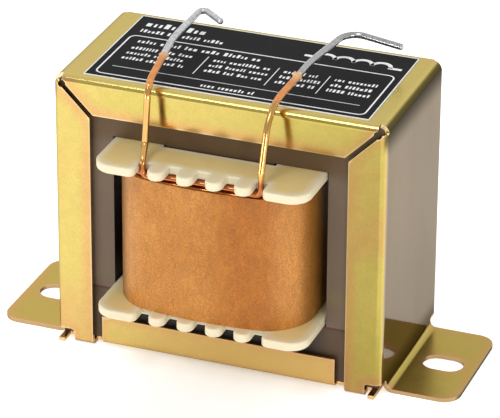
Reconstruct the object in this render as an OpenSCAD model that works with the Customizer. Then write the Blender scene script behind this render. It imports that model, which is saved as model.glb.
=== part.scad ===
// Crossover inductor: a wound bobbin on a laminated E and I core, clamped in a folded sheet frame.
// Millimetres, +Z up. The origin is on the mounting plane, under the middle of the core.

/* [Core] */
// Width of the laminations, which also sets their legs, window and height
core_w = 66; // [60:1:78]
// Depth of the stack of laminations
stack_d = 31.5; // [26:0.5:40]
// Thickness of the card that makes the air gap between the E and the I
gap_t = 0.5; // [0.2:0.1:1]

/* [Frame] */
// Thickness of the sheet of the frame and the base plate
sheet_t = 0.8; // [0.6:0.1:1]
// Height of the flanges that hold the front and the back of the core
flange_h = 7.5; // [6:0.5:9]
// Inside radius of the flange bends, which keeps the core off the flanges
edge_bend = 0.6; // [0.4:0.1:0.9]
// Inside radius of the two bends across the top
strap_bend = 1; // [0.8:0.1:1.6]
// Width of the slit at each mitred corner
mitre_gap = 1; // [0.5:0.1:1.2]
// Radius of the round relief at the root of each mitre
relief_r = 0.8; // [0.7:0.05:1]
// Slack between the core and the sides of the frame
side_slack = 0.05; // [0.02:0.01:0.1]

/* [Feet] */
// Reach of each foot beyond the side of the frame
foot_reach = 14; // [13:0.5:18]
// How far the front and back edges of a foot lie inside the flanges
foot_inset = 3.5; // [3:0.5:5]
// Inside radius of the bend into the foot
foot_bend = 1.3; // [1:0.1:1.6]
// Radius of the outer corners of a foot
foot_corner = 3.5; // [2:0.5:5]
// Overall length of the mounting slot
slot_len = 8.3; // [7:0.1:9]
// Width of the mounting slot
slot_w = 5.8; // [4.5:0.1:6]
// Metal left between the slot and the end of the foot
slot_edge = 2.7; // [2:0.1:3.2]

/* [Clamp tabs] */
// Length of the tab under the base plate
tab_len = 4.5; // [3:0.5:6]
// Width of the notch between each tab and the side of the frame
notch_w = 3.5; // [3:0.1:4]
// Height of that notch above the base plate
notch_h = 1.3; // [1.2:0.1:1.8]
// Radius in the corner of that notch
notch_r = 0.8; // [0.4:0.1:1.1]

/* [Base plate] */
// Height of the upturned flanges of the base plate
base_flange_h = 6.2; // [4.5:0.1:7]
// Gap between an upturned flange and the tabs
base_flange_gap = 2; // [1.5:0.1:3]
// Gap between each tab and the finger left standing outside it
horn_gap = 1.35; // [1.2:0.05:1.6]
// Reach of that finger beyond the flange
horn_reach = 1.7; // [0.8:0.1:2.2]

/* [Bobbin] */
// Wall of the tube around the centre leg
tube_wall = 1; // [0.8:0.1:1.4]
// Slack between the tube and the centre leg
tube_slack = 0.4; // [0.2:0.1:0.6]
// Thickness of the end flanges
cheek_t = 1.8; // [1.4:0.1:2.2]
// Slack between the bobbin and the top of the window
window_slack = 0.1; // [0.05:0.05:0.3]
// Slack between the end flanges and the outer legs
cheek_slack = 0.3; // [0.2:0.1:0.5]
// Reach of the end flanges beyond the width of the window
cheek_over = 1.25; // [1:0.05:2]
// Radius of the outer corners of the end flanges
cheek_corner = 4; // [3:0.5:5]
// Radius of the corner beside the last lead slot
lobe_corner = 1.4; // [0.8:0.1:1.6]
// Number of lead slots along the front and the back of each flange
comb_slots = 5; // [3:2:5]
// Width of a lead slot
comb_w = 2.4; // [2.2:0.1:2.8]
// Depth of a lead slot
comb_depth = 4; // [3.6:0.1:4.4]
// Width of a finger between two slots
finger_w = 3.45; // [2.8:0.05:3.6]

/* [Winding] */
// Diameter of the enamelled wire
wire_d = 1.25; // [1:0.05:1.4]
// Thickness of the paper wrapped around the coil
wrap_t = 0.3; // [0.2:0.05:0.5]
// Slack between the wrap and the outer legs
wrap_slack = 2.4; // [2:0.1:3]
// How far the wrap stays behind the width of the window at the front
wrap_setback = 0.85; // [0.6:0.05:1.4]
// Radius that the first layer takes around the edges of the tube
first_corner = 2.7; // [2.2:0.1:3.2]
// Radius of the bowed front and back of the wrap
wrap_bow = 85; // [75:1:110]
// Gap between the top edge of the wrap and the turn left bare above it
bare_gap = 0.13; // [0.05:0.01:0.6]

/* [Leads] */
// How far the leads stand off the front of the frame
lead_gap = 2.7; // [2:0.05:3.4]
// How far the leads lie above the front edge of the label
lead_lift = 2; // [1.2:0.1:3]
// How far the leads climb on their way to the back
lead_climb = 1.8; // [1:0.1:3]
// How far the leads stop short of the back of the frame
lead_inset = 3.85; // [2:0.05:6]
// Length of the short end of the left lead
left_end = 8.5; // [6:0.1:10]
// Length of the longer end of the right lead
right_end = 12.4; // [9:0.1:15]

/* [Label] */
// Metal left bare at the left and the right of the label, on average
label_margin_x = 4.85; // [4:0.05:8]
// Metal left bare in front of the label and behind it
label_margin_y = 2.05; // [2:0.05:5]
// Thickness of the label
label_t = 0.12; // [0.1:0.01:0.2]
// How far the label sits to the right of the middle
label_shift = 0.6; // [-1:0.1:1]

/* [Hidden] */
$fn = 64;

// Laminations that leave no scrap: the I is punched out of the window
leg = core_w / 6;
window_h = core_w / 2;
core_z = 2 * sheet_t;
gap_z = core_z + leg;
e_z = gap_z + gap_t;
yoke_z = e_z + window_h;
core_top = yoke_z + leg;
core_y = stack_d / 2;

// Frame
frame_w = core_w + 2 * (sheet_t + side_slack);
frame_d = stack_d + 2 * (sheet_t + edge_bend);
frame_h = core_top + sheet_t;
side_x = frame_w / 2;
front_y = frame_d / 2;
edge_r = edge_bend + sheet_t;
strap_r = strap_bend + sheet_t;
flat_y = front_y - edge_r;
opening_x = side_x - flange_h;
notch_x = side_x - notch_w;
notch_z = core_z + notch_h;
mitre = mitre_gap / sqrt(2);
foot_y = front_y - foot_inset;
foot_end = side_x + foot_reach;
slot_x = foot_end - slot_edge - slot_len / 2;
notch_fillet = notch_z - sheet_t - foot_bend;

// Bobbin
bobbin_z = e_z;
bobbin_top = yoke_z - window_slack;
bore_x = leg + tube_slack;
bore_y = core_y + tube_slack;
tube_x = bore_x + tube_wall;
tube_y = bore_y + tube_wall;
cheek_x = 2 * leg - cheek_slack;
cheek_y = core_y + leg + cheek_over;
comb_y = cheek_y - comb_depth;
comb_pitch = comb_w + finger_w;
comb_root = 1;
lobe_x = (comb_slots - 1) / 2 * comb_pitch + comb_w / 2;

// Coil: straight sides and round corners, inside a wrap that bows out at the front and the back.
// The corners of both turn about the same axes, where the bow meets them without a step.
// Places that neighbouring pieces share are rounded to a micron, so that their faces meet.
function micron(v) = round(v * 1000) / 1000;
wrap_fit = 0.03;
wrap_nip = 0.1;
coil_z = micron(bobbin_z + cheek_t);
coil_top = micron(bobbin_top - cheek_t);
wrap_x = 2 * leg - wrap_slack;
wrap_y = core_y + leg - wrap_setback;
wrap_corner = wrap_x - tube_x + first_corner;
corner_x = micron(wrap_x - wrap_corner);
corner_y = micron(wrap_y - wrap_bow + sqrt(pow(wrap_bow - wrap_corner, 2) - pow(corner_x, 2)));
meet_x = corner_x * wrap_bow / (wrap_bow - wrap_corner);
coil_corner = micron(wrap_corner - wrap_t - wrap_fit);
coil_x = corner_x + coil_corner;
coil_y = corner_y + coil_corner;
turns = floor((coil_top - coil_z) / wire_d);
turn_pitch = (coil_top - coil_z) / turns;
coil_fit = 0.05;
coil_bite = 0.2;
coil_build = micron(max(coil_x - tube_x, coil_y - tube_y) + coil_bite);

// Leads
wire_r = wire_d / 2;
elbow_swell = 0.02;
elbow_reach = 0.1;
lead_x = (comb_slots - 1) / 2 * comb_pitch;
lead_clear = 0.25;
lead_root_y = -(comb_y + wire_r + lead_clear);
lead_root_z = coil_top - turn_pitch / 2;
wrap_top = lead_root_z - wire_r - elbow_swell / 2 - bare_gap;
lead_back = front_y - lead_inset;
lead_tail = 3;
lead_tail_bend = 1.1;
lead_rise_bend = 1.6;
lead_front_y = -(front_y + lead_gap + wire_r);
lead_top_z = frame_h + label_t + lead_lift + wire_r;
lead_hook_z = lead_top_z + lead_climb;

// Label
label_w = frame_w - 2 * label_margin_x;
label_d = frame_d - 2 * label_margin_y;

// Sheet channel

// Rectangle with its two lower corners rounded, standing on the X axis
module rounded_foot_2d(w, h, r) {
    translate([-w / 2, r])
        square([w, h - r]);
    translate([-w / 2 + r, 0])
        square([w - 2 * r, r]);
    for (s = [-1, 1])
        translate([s * (w / 2 - r), r])
            circle(r = r);
}

// Section through the channel: its back on the X axis, its two flanges upwards
module channel_2d() {
    difference() {
        rounded_foot_2d(frame_d, flange_h, edge_r);
        translate([0, sheet_t])
            rounded_foot_2d(frame_d - 2 * sheet_t, flange_h, edge_bend);
    }
}

// Quarter ring of sheet about the origin, in the quadrant of +X and +Y
module bend_2d(inside) {
    intersection() {
        difference() {
            circle(r = inside + sheet_t);
            circle(r = inside);
        }
        square(inside + sheet_t);
    }
}

// Extrudes a shape drawn in X and Z along Y, by half on each side of the middle
module along_y(half) {
    translate([0, half, 0])
        rotate([90, 0, 0])
            linear_extrude(2 * half)
                children();
}

// Extrudes a shape drawn in Y and Z along X, from x
module along_x(x, length) {
    translate([x, 0, 0])
        rotate([90, 0, 90])
            linear_extrude(length)
                children();
}

// Repeats its children on the left and on the right
module both_sides() {
    children();
    mirror([1, 0, 0])
        children();
}

// Repeats its children at the front and at the back
module both_faces() {
    children();
    mirror([0, 1, 0])
        children();
}

// Top of the channel, its flanges mitred at both ends
module top_channel() {
    low = flange_h + 1;
    half = side_x - strap_r;
    slope = side_x - low - mitre;
    intersection() {
        translate([-side_x, 0, frame_h])
            mirror([0, 0, 1])
                rotate([90, 0, 90])
                    linear_extrude(frame_w)
                        channel_2d();
        along_y(front_y + 1)
            polygon([
                [-half, frame_h + 1],
                [half, frame_h + 1],
                [half, frame_h - strap_r + mitre],
                [slope, frame_h - low],
                [-slope, frame_h - low],
                [-half, frame_h - strap_r + mitre]
            ]);
    }
}

// Right side of the channel, down to the notches
module side_channel() {
    low = flange_h + 1;
    intersection() {
        translate([side_x, 0, 0])
            rotate([0, 0, 90])
                linear_extrude(frame_h)
                    channel_2d();
        along_y(front_y + 1)
            polygon([
                [side_x - low, notch_z],
                [side_x + 1, notch_z],
                [side_x + 1, frame_h - strap_r],
                [side_x - strap_r + mitre, frame_h - strap_r],
                [side_x - low, frame_h - low - mitre]
            ]);
    }
}

// Bend between the top and the right side, as wide as the flat of the sheet
module strap_corner() {
    translate([side_x - strap_r, 0, frame_h - strap_r])
        along_y(flat_y)
            bend_2d(strap_bend);
}

// Round relief where the flanges of the top and the right side part
module mitre_relief() {
    both_faces()
        translate([side_x - strap_r, -front_y - 1, frame_h - strap_r])
            rotate([-90, 0, 0])
                cylinder(r = relief_r, h = front_y + 1 - flat_y);
}

// Outline of the right foot, seen from above
module foot_2d() {
    root = side_x + foot_bend;
    difference() {
        union() {
            translate([root, -foot_y])
                square([foot_end - foot_corner - root, 2 * foot_y]);
            translate([root, -foot_y + foot_corner])
                square([foot_end - root, 2 * (foot_y - foot_corner)]);
            for (s = [-1, 1])
                translate([foot_end - foot_corner, s * (foot_y - foot_corner)])
                    circle(r = foot_corner);
        }
        for (s = [-1, 1])
            translate([slot_x + s * (slot_len - slot_w) / 2, 0])
                circle(d = slot_w);
        translate([slot_x, 0])
            square([slot_len - slot_w, slot_w], center = true);
    }
}

// Right foot with the bend above it and the fillets of the notches
module foot() {
    linear_extrude(sheet_t)
        foot_2d();
    translate([side_x + foot_bend, 0, sheet_t + foot_bend])
        along_y(foot_y)
            rotate(180)
                bend_2d(foot_bend);
    along_x(side_x - sheet_t, sheet_t)
        difference() {
            translate([-foot_y - notch_fillet, notch_z - notch_fillet])
                square([2 * (foot_y + notch_fillet), notch_fillet]);
            for (s = [-1, 1])
                translate([s * (foot_y + notch_fillet), notch_z - notch_fillet])
                    circle(r = notch_fillet);
        }
}

// Front right tab: straight down from the flange, then folded back under the base plate.
// A fillet joins it to the notch beside it.
module clamp_tab() {
    bend_y = -front_y + edge_r;
    along_x(opening_x, notch_x - opening_x) {
        translate([-front_y, edge_r])
            square([sheet_t, notch_z - edge_r]);
        translate([bend_y, edge_r])
            rotate(180)
                bend_2d(edge_bend);
        translate([bend_y, 0])
            square([tab_len, sheet_t]);
    }
    translate([notch_x, -front_y + sheet_t, notch_z])
        rotate([90, 0, 0])
            linear_extrude(sheet_t)
                difference() {
                    translate([0, -notch_r])
                        square(notch_r);
                    translate([notch_r, -notch_r])
                        circle(r = notch_r);
                }
}

module frame() {
    color("goldenrod")
        difference() {
            union() {
                top_channel();
                both_sides() {
                    side_channel();
                    strap_corner();
                    foot();
                    both_faces()
                        clamp_tab();
                }
            }
            both_sides()
                mitre_relief();
        }
}

// Base plate

// Front flange of the base plate, with its bend
module base_flange() {
    half = opening_x - base_flange_gap;
    along_x(-half, 2 * half) {
        translate([-front_y, sheet_t + edge_r])
            square([sheet_t, base_flange_h - edge_r]);
        translate([-front_y + edge_r, sheet_t + edge_r])
            rotate(180)
                bend_2d(edge_bend);
    }
}

// Flat of the base plate: notched for the tabs, with a finger left standing outside each one
module base_flat_2d() {
    half = opening_x - base_flange_gap;
    tab_clear = 0.1;
    horn_y = front_y + horn_reach;
    horn_w = core_w / 2 - notch_x - horn_gap;
    square([core_w, 2 * (flat_y - tab_clear)], center = true);
    square([2 * half, 2 * flat_y], center = true);
    for (s = [-1, 1])
        translate([s * (core_w - horn_w) / 2, 0])
            square([horn_w, 2 * horn_y], center = true);
}

module base_plate() {
    color("darkkhaki") {
        translate([0, 0, sheet_t])
            linear_extrude(sheet_t)
                base_flat_2d();
        both_faces()
            base_flange();
    }
}

// Core

// E laminations standing on their legs, the outer corners rounded to lie in the bends of the frame
module e_stack() {
    window_x = leg / 2 + leg;
    color("dimgray")
        along_y(core_y)
            difference() {
                translate([0, core_top])
                    mirror([0, 1])
                        rounded_foot_2d(core_w, core_top - e_z, strap_bend + side_slack);
                for (s = [-1, 1])
                    translate([s * window_x - leg / 2, e_z - 1])
                        square([leg, window_h + 1]);
            }
}

module i_stack() {
    color("gray")
        translate([-core_w / 2, -core_y, core_z])
            cube([core_w, stack_d, leg]);
}

module gap_shim() {
    color("saddlebrown")
        translate([-core_w / 2, -core_y, gap_z])
            cube([core_w, stack_d, gap_t]);
}

// Bobbin

// Lobe at the front right of an end flange, beside the last lead slot
module lobe_2d() {
    width = cheek_x - lobe_x;
    root = comb_y - comb_root;
    translate([lobe_x, root])
        square([width, cheek_y - cheek_corner - root]);
    translate([lobe_x + lobe_corner, root])
        square([width - lobe_corner - cheek_corner, cheek_y - root]);
    translate([lobe_x + lobe_corner, cheek_y - lobe_corner])
        circle(r = lobe_corner);
    translate([lobe_x, root])
        square([2 * lobe_corner, cheek_y - lobe_corner - root]);
    translate([cheek_x - cheek_corner, cheek_y - cheek_corner])
        circle(r = cheek_corner);
}

// Fingers between the lead slots, with round tips
module fingers_2d() {
    count = comb_slots - 1;
    for (i = [0 : count - 1])
        translate([(i - (count - 1) / 2) * comb_pitch, 0]) {
            translate([-finger_w / 2, comb_y - comb_root])
                square([finger_w, comb_depth + comb_root - finger_w / 2]);
            translate([0, cheek_y - finger_w / 2])
                circle(d = finger_w);
        }
}

// End flange with a comb of lead slots at its front and back
module cheek_2d() {
    difference() {
        union() {
            square([2 * cheek_x, 2 * comb_y], center = true);
            for (s = [0, 1])
                mirror([0, s]) {
                    fingers_2d();
                    lobe_2d();
                    mirror([1, 0])
                        lobe_2d();
                }
        }
        square([2 * bore_x, 2 * bore_y], center = true);
    }
}

module bobbin() {
    color("ivory") {
        for (z = [bobbin_z, coil_top])
            translate([0, 0, z])
                linear_extrude(cheek_t)
                    cheek_2d();
        translate([0, 0, coil_z])
            linear_extrude(coil_top - coil_z)
                difference() {
                    square([2 * tube_x, 2 * tube_y], center = true);
                    square([2 * bore_x, 2 * bore_y], center = true);
                }
    }
}

// Coil

// Section of the coil, its outside at x = 0: a block of inner layers and the turns of the last one
module coil_section_2d() {
    translate([-coil_build, coil_z])
        square([coil_build - wire_r, coil_top - coil_z]);
    for (i = [0 : turns - 1])
        translate([-wire_r, coil_z + (i + 0.5) * turn_pitch])
            circle(d = wire_d);
}

// One quarter of the coil: half of the right side, a corner and half of the back
module coil_quarter() {
    translate([coil_x, corner_y, 0])
        rotate([90, 0, 0])
            linear_extrude(corner_y)
                coil_section_2d();
    translate([corner_x, corner_y, 0])
        rotate_extrude(angle = 90)
            translate([coil_corner, 0])
                coil_section_2d();
    translate([0, coil_y, 0])
        rotate([90, 0, 90])
            linear_extrude(corner_x)
                coil_section_2d();
}

// Plan of the wrap, drawn in by the distance inset
module wrap_2d(inset) {
    y = corner_y + wrap_nip;
    intersection() {
        union() {
            square([2 * (wrap_x - inset), 2 * y], center = true);
            square([2 * meet_x, 2 * wrap_y + 1], center = true);
            for (i = [-1, 1], j = [-1, 1])
                translate([i * corner_x, j * y])
                    circle(r = wrap_corner - inset);
        }
        translate([0, wrap_bow - wrap_y])
            circle(r = wrap_bow - inset);
        translate([0, wrap_y - wrap_bow])
            circle(r = wrap_bow - inset);
    }
}

function unit(v) = v / norm(v);
function turn_angle(a, b) = acos(max(-1, min(1, unit(a) * unit(b))));

// Straight piece of wire from a to b, reaching a little into the elbows at its ends
module wire_straight(a, b, reach_a, reach_b) {
    d = b - a;
    translate(a - unit(d) * reach_a)
        rotate([0, acos(d[2] / norm(d)), atan2(d[1], d[0])])
            cylinder(d = wire_d, h = norm(d) + reach_a + reach_b);
}

// Elbow of wire at p, from the direction a into the direction b, about a radius r
module wire_elbow(p, a, b, r) {
    angle = turn_angle(a, b);
    n = unit(cross(a, b));
    centre = p + unit(b - a) * r / cos(angle / 2);
    v = unit(p - a * r * tan(angle / 2) - centre);
    tilt = acos(n[2]);
    pan = atan2(n[1], n[0]);
    ex = [cos(tilt) * cos(pan), cos(tilt) * sin(pan), -sin(tilt)];
    ey = [-sin(pan), cos(pan), 0];
    translate(centre)
        rotate([0, tilt, pan])
            rotate(atan2(v * ey, v * ex))
                rotate_extrude(angle = angle)
                    translate([r, 0])
                        circle(d = wire_d + elbow_swell);
}

// Wire bent through the points p, each inner one rounded by the radius that r gives for it
module bent_wire(p, r) {
    last = len(p) - 1;
    dirs = [for (i = [0 : last - 1]) unit(p[i + 1] - p[i])];
    cut = [for (i = [0 : last])
        i == 0 || i == last ? 0 : r[i] * tan(turn_angle(dirs[i - 1], dirs[i]) / 2)];
    for (i = [0 : last - 1])
        wire_straight(
            p[i] + dirs[i] * cut[i],
            p[i + 1] - dirs[i] * cut[i + 1],
            i == 0 ? 0 : elbow_reach,
            i == last - 1 ? 0 : elbow_reach
        );
    for (i = [1 : last - 1])
        wire_elbow(p[i], dirs[i - 1], dirs[i], r[i]);
}

// Both leads start in the last turn and rise through a lead slot
function lead_rise(x, top) = [
    [x - lead_tail * sign(x), lead_root_y, lead_root_z],
    [x, lead_root_y, lead_root_z],
    [x, lead_root_y, top]
];

// The left lead lies back at once, stands up in front of the frame, folds over the top and drifts outwards.
// Its end hooks back inwards, tilted up a little.
module left_lead() {
    slip = -0.4;
    lean = [-0.8, -1.3, 2.75];
    fold_y = 0.5;
    fold_bend = 4;
    drift = [-3.2, -1.5];
    drift_bend = 40;
    hook_in = 0.4;
    hook_bend = 1;
    end_way = [6.1, -6, 0.5];
    x = -lead_x + slip;
    hook = [x + drift[0] + hook_in, lead_back, lead_hook_z];
    path = concat(lead_rise(x, bobbin_top + wire_r), [
        [x + lean[0], lead_front_y + lean[1], bobbin_top + lean[2]],
        [x + lean[0], lead_front_y + fold_y, lead_top_z],
        [x + drift[0], drift[1], (lead_top_z + 3 * lead_hook_z) / 4],
        hook,
        hook + left_end * unit(end_way)
    ]);
    bends = [0, lead_tail_bend, lead_rise_bend, lead_rise_bend, fold_bend, drift_bend, hook_bend, 0];
    bent_wire(path, bends);
}

// The right lead leans back all the way up, folds over in a wide bend, and its longer end turns outwards
module right_lead() {
    slip = 0.1;
    rise = 2.1;
    fold = [0.15, -0.5, -0.55];
    fold_bend = 8;
    drift = [1.4, -2.2];
    drift_bend = 40;
    hook_out = [2.55, -0.8, 0.2];
    hook_bend = 3.5;
    end_way = [12, -3.4, 0];
    x = lead_x + slip;
    hook = [x + drift[0], lead_back, lead_hook_z] + hook_out;
    path = concat(lead_rise(x, bobbin_top + rise), [
        [x, lead_front_y, lead_top_z] + fold,
        [x + drift[0], drift[1], (lead_top_z + 2 * lead_hook_z) / 3],
        hook,
        hook + right_end * unit(end_way)
    ]);
    bends = [0, lead_tail_bend, lead_rise_bend, fold_bend, drift_bend, hook_bend, 0];
    bent_wire(path, bends);
}

module winding() {
    color("peru") {
        difference() {
            for (i = [0, 1], j = [0, 1])
                mirror([i, 0, 0])
                    mirror([0, j, 0])
                        coil_quarter();
            translate([0, 0, (coil_z + coil_top) / 2])
                cube([2 * (tube_x + coil_fit), 2 * (tube_y + coil_fit), 2 * window_h], center = true);
        }
        left_lead();
        right_lead();
    }
}

module wrap() {
    color("burlywood")
        translate([0, 0, coil_z])
            linear_extrude(wrap_top - coil_z)
                difference() {
                    wrap_2d(0);
                    wrap_2d(wrap_t);
                }
}

// Label
module label() {
    color("black")
        translate([label_shift - label_w / 2, -label_d / 2, frame_h])
            cube([label_w, label_d, label_t]);
}

frame();
base_plate();
e_stack();
i_stack();
gap_shim();
bobbin();
winding();
wrap();
label();
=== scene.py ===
# %% [markdown]
# # An iron-core inductor, dressed for its portrait
#
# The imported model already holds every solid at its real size: a folded sheet frame, a base plate, two
# stacks of laminations, the card between them, a bobbin, the winding with its two leads, the paper wrap
# and the label. This lesson gives them their finish. Sheet and nylon get copies of their solids with
# rounded edges, the leads get enamel, scorch and solder, the label gets its print, and everything else
# gets a material.

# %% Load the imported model
import math
import random

import bmesh
import bpy
from mathutils import Matrix, Vector, kdtree, noise


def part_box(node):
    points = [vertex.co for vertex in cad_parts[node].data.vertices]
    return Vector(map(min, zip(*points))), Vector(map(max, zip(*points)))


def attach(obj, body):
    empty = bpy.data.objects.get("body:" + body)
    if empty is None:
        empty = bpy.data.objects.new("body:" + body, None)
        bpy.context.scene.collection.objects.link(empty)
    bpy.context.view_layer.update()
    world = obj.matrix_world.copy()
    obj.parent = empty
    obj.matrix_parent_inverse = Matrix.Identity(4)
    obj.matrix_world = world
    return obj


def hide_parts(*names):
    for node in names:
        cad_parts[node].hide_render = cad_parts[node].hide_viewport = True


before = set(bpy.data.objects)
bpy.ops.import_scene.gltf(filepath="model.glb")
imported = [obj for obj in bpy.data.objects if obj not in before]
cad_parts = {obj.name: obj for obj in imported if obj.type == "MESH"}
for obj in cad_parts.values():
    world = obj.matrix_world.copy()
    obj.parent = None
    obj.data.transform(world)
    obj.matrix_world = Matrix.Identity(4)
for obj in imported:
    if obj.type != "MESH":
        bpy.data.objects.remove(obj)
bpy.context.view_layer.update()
MM = 0.001
print("nodes:", ", ".join(sorted(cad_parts)))

# %% [markdown]
# ## Camera
#
# The camera stood a little to the right and looked down at about 26 degrees through a long lens, so the
# uprights hardly converge. The direction, the distance and the focal length were worked out from the
# corners of the core, whose size is known. A matrix with the camera's right, up and back as its columns
# holds all of it.

# %% Camera at the photograph's angle
PHOTO_W = 500
FOCAL_PX = 3474.8
YAW = math.radians(20.602)
PITCH = math.radians(26.464)
ROLL = math.radians(-0.365)
EYE = Vector((215.47, -572.44, 331.62)) * MM
SENSOR_W = 36
NEAR = 0.01


def photo_camera():
    """Camera that looks from EYE, turned by yaw, pitch and roll."""
    back = Vector((math.sin(YAW) * math.cos(PITCH), -math.cos(YAW) * math.cos(PITCH), math.sin(PITCH)))
    right = Vector((0, 0, 1)).cross(back).normalized()
    up = back.cross(right)
    rolled_right = right * math.cos(ROLL) - up * math.sin(ROLL)
    rolled_up = right * math.sin(ROLL) + up * math.cos(ROLL)
    turn = Matrix((rolled_right, rolled_up, back)).transposed().to_4x4()
    data = bpy.data.cameras.new("photo_camera")
    data.sensor_fit = "HORIZONTAL"
    data.sensor_width = SENSOR_W
    data.lens = FOCAL_PX * SENSOR_W / PHOTO_W
    data.clip_start = NEAR
    camera = bpy.data.objects.new("photo_camera", data)
    camera.matrix_world = Matrix.Translation(EYE) @ turn
    bpy.context.scene.collection.objects.link(camera)
    return camera


bpy.context.scene.camera = photo_camera()
print("lens in mm:", round(bpy.context.scene.camera.data.lens, 1))

# %% [markdown]
# ## Node helpers
#
# Every finish below is built from the same few nodes. A small bench object keeps the code short: it places
# a node in one tree, gives each input a plain value or a link, and hands back the output that the next
# node needs.

# %% A bench for node trees


class Bench:
    """Places nodes in one tree and links them."""

    def __init__(self, tree):
        self.tree = tree
        self.where = None

    def put(self, kind, inputs=(), **settings):
        """A new node with its settings, and its inputs as values or links."""
        node = self.tree.nodes.new(kind)
        for name, value in settings.items():
            setattr(node, name, value)
        for name, value in dict(inputs).items():
            self.plug(value, node.inputs[name])
        return node

    def plug(self, value, socket):
        """Gives a socket a link or a plain value."""
        if isinstance(value, bpy.types.NodeSocket):
            self.tree.links.new(value, socket)
        else:
            socket.default_value = value

    def place(self):
        """The point on the object, in metres."""
        if self.where is None:
            self.where = self.put("ShaderNodeTexCoord")
        return self.where.outputs["Object"]

    def at(self, letter):
        """One coordinate of the point on the object."""
        return self.put("ShaderNodeSeparateXYZ", {"Vector": self.place()}).outputs[letter]

    def faces(self, letter):
        """One coordinate of the direction that the surface faces on the object."""
        self.place()
        return self.put("ShaderNodeSeparateXYZ", {"Vector": self.where.outputs["Normal"]}).outputs[letter]

    def noise(self, scale, detail=2.0, roughness=0.5, stretch=(1, 1, 1)):
        """Cloudy noise from 0 to 1, with about so many clouds in each metre."""
        given = {"Scale": scale, "Detail": detail, "Roughness": roughness, "Stretch": stretch}
        return self.put("ShaderNodeGroup", given, node_tree=CLOUDS).outputs["Value"]

    def rim(self):
        """The distance from the nearest outer edge in millimetres, which a rounded copy carries."""
        return self.put("ShaderNodeAttribute", attribute_name="rim").outputs["Fac"]

    def sum(self, operation, a, b=0.0):
        """One step of arithmetic with two values."""
        return self.put("ShaderNodeMath", {0: a, 1: b}, operation=operation).outputs[0]

    def arrow(self, operation, a, b=(0, 0, 0)):
        """One step of arithmetic with two vectors."""
        return self.put("ShaderNodeVectorMath", {0: a, 1: b}, operation=operation)

    def times(self, first, *others):
        """The product of several values."""
        for other in others:
            first = self.sum("MULTIPLY", first, other)
        return first

    def size(self, value):
        """A value without its sign."""
        return self.sum("ABSOLUTE", value)

    def fade(self, value, start, end, low=0.0, high=1.0):
        """A soft step from low, where the value is start, to high, where it is end."""
        given = dict(enumerate((value, start, end, low, high)))
        return self.put("ShaderNodeMapRange", given, interpolation_type="SMOOTHSTEP").outputs[0]

    def mix(self, share, a, b, way="MIX"):
        """Colour a, with colour b laid over it by share."""
        given = {0: share, 6: a, 7: b}
        return self.put("ShaderNodeMix", given, data_type="RGBA", blend_type=way).outputs[2]

    def shade(self, colour, value):
        """A colour made darker or lighter by a value."""
        grey = self.put("ShaderNodeCombineColor", {"Red": value, "Green": value, "Blue": value}).outputs[0]
        return self.mix(1.0, colour, grey, "MULTIPLY")

    def ramp(self, value, *stops):
        """Colours along a value, each stop as (place, colour)."""
        node = self.put("ShaderNodeValToRGB", {"Fac": value})
        elements = node.color_ramp.elements
        while len(elements) < len(stops):
            elements.new(0.5)
        for element, (place, colour) in zip(elements, stops):
            element.position = place
            element.color = colour
        return node.outputs[0]

    def bump(self, height, depth):
        """A normal from a height of 0 to 1 that stands for so many metres."""
        return self.put("ShaderNodeBump", {"Height": height, "Distance": depth, "Strength": 1.0}).outputs[0]


def rgb(red, green, blue):
    """A colour that is not see-through."""
    return (red, green, blue, 1.0)


def new_finish(name):
    """A material, its bench and its Principled shader."""
    made = bpy.data.materials.new(name)
    made.use_nodes = True
    shader = made.node_tree.nodes["Principled BSDF"]
    return made, Bench(made.node_tree), shader


def new_effect(name, inputs, outputs):
    """A node group with its named inputs and outputs, its bench and its two ends."""
    tree = bpy.data.node_groups.new(name, "ShaderNodeTree")
    for label, value in inputs.items():
        kind = "NodeSocketVector" if isinstance(value, tuple) else "NodeSocketFloat"
        socket = tree.interface.new_socket(name=label, in_out="INPUT", socket_type=kind)
        socket.default_value = value
    for label, kind in outputs.items():
        tree.interface.new_socket(name=label, in_out="OUTPUT", socket_type=f"NodeSocket{kind}")
    bench = Bench(tree)
    return tree, bench, bench.put("NodeGroupInput"), bench.put("NodeGroupOutput")


def set_values(shader, **values):
    """Values that are the same all over the surface, set on the shader itself."""
    for name, value in values.items():
        shader.inputs[name.replace("_", " ")].default_value = value


def coat(piece, finish):
    """Gives a piece one finish in place of any other."""
    piece.data.materials.clear()
    piece.data.materials.append(finish)


def cloudy_noise():
    """The noise that every finish here uses for its clouds, grain or fibres, each with its own values."""
    inputs = {"Scale": 100.0, "Detail": 2.0, "Roughness": 0.5, "Stretch": (1.0, 1.0, 1.0)}
    tree, bench, given, result = new_effect("cloudy_noise", inputs, {"Value": "Float"})
    stretched = {"Vector": bench.place(), "Scale": given.outputs["Stretch"]}
    cloud = {name: given.outputs[name] for name in ("Scale", "Detail", "Roughness")}
    cloud["Vector"] = bench.put("ShaderNodeMapping", stretched).outputs[0]
    bench.plug(bench.put("ShaderNodeTexNoise", cloud).outputs[0], result.inputs["Value"])
    return tree


CLOUDS = cloudy_noise()
print("shared noise:", CLOUDS.name)

# %% [markdown]
# ## Floor and light
#
# The object stands on a plain white sweep that glows like a light table. Bright sheet metal shows what is
# around it, so the surroundings matter more than the lamps: upright faces mirror the floor, and the top
# mirrors the far wall. A floor of one brightness would bleach the front, so the glow is dimmer in an
# ellipse in front of the object. The key lamp hangs high in front, a little to the left. Two low lamps in
# front, at the left and at the right, put a sheen on the paper and lines of light on the wires. The room
# is brighter behind the object than in front of it.

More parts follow.
